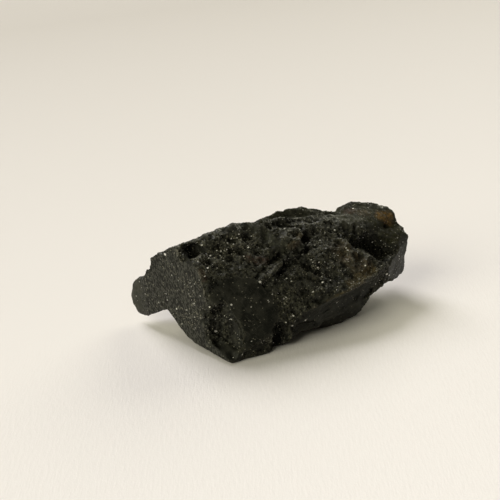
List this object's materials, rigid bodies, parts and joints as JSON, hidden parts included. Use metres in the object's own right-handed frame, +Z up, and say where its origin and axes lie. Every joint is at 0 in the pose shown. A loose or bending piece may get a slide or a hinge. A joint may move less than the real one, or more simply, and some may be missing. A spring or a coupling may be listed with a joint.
{
  "type": "tektite",
  "caption": "Broken lump of black natural glass with a pitted rough skin, one flat broken end and an overhanging tab, lying on its flattest side.",
  "frame": {"origin": "the middle of the box of the stone's plan, on the ground that it lies on", "axes": "+X along the stone, away from its flat broken end, +Y to its back and +Z up"},
  "size_m": [0.0518, 0.0256, 0.0194],
  "materials": {
    "black_glass": "satin, pitted, near-black natural glass with dusty and rusty traces"
  },
  "bodies": {
    "root": {"tektite": "black_glass"}
  },
  "joints": []
}
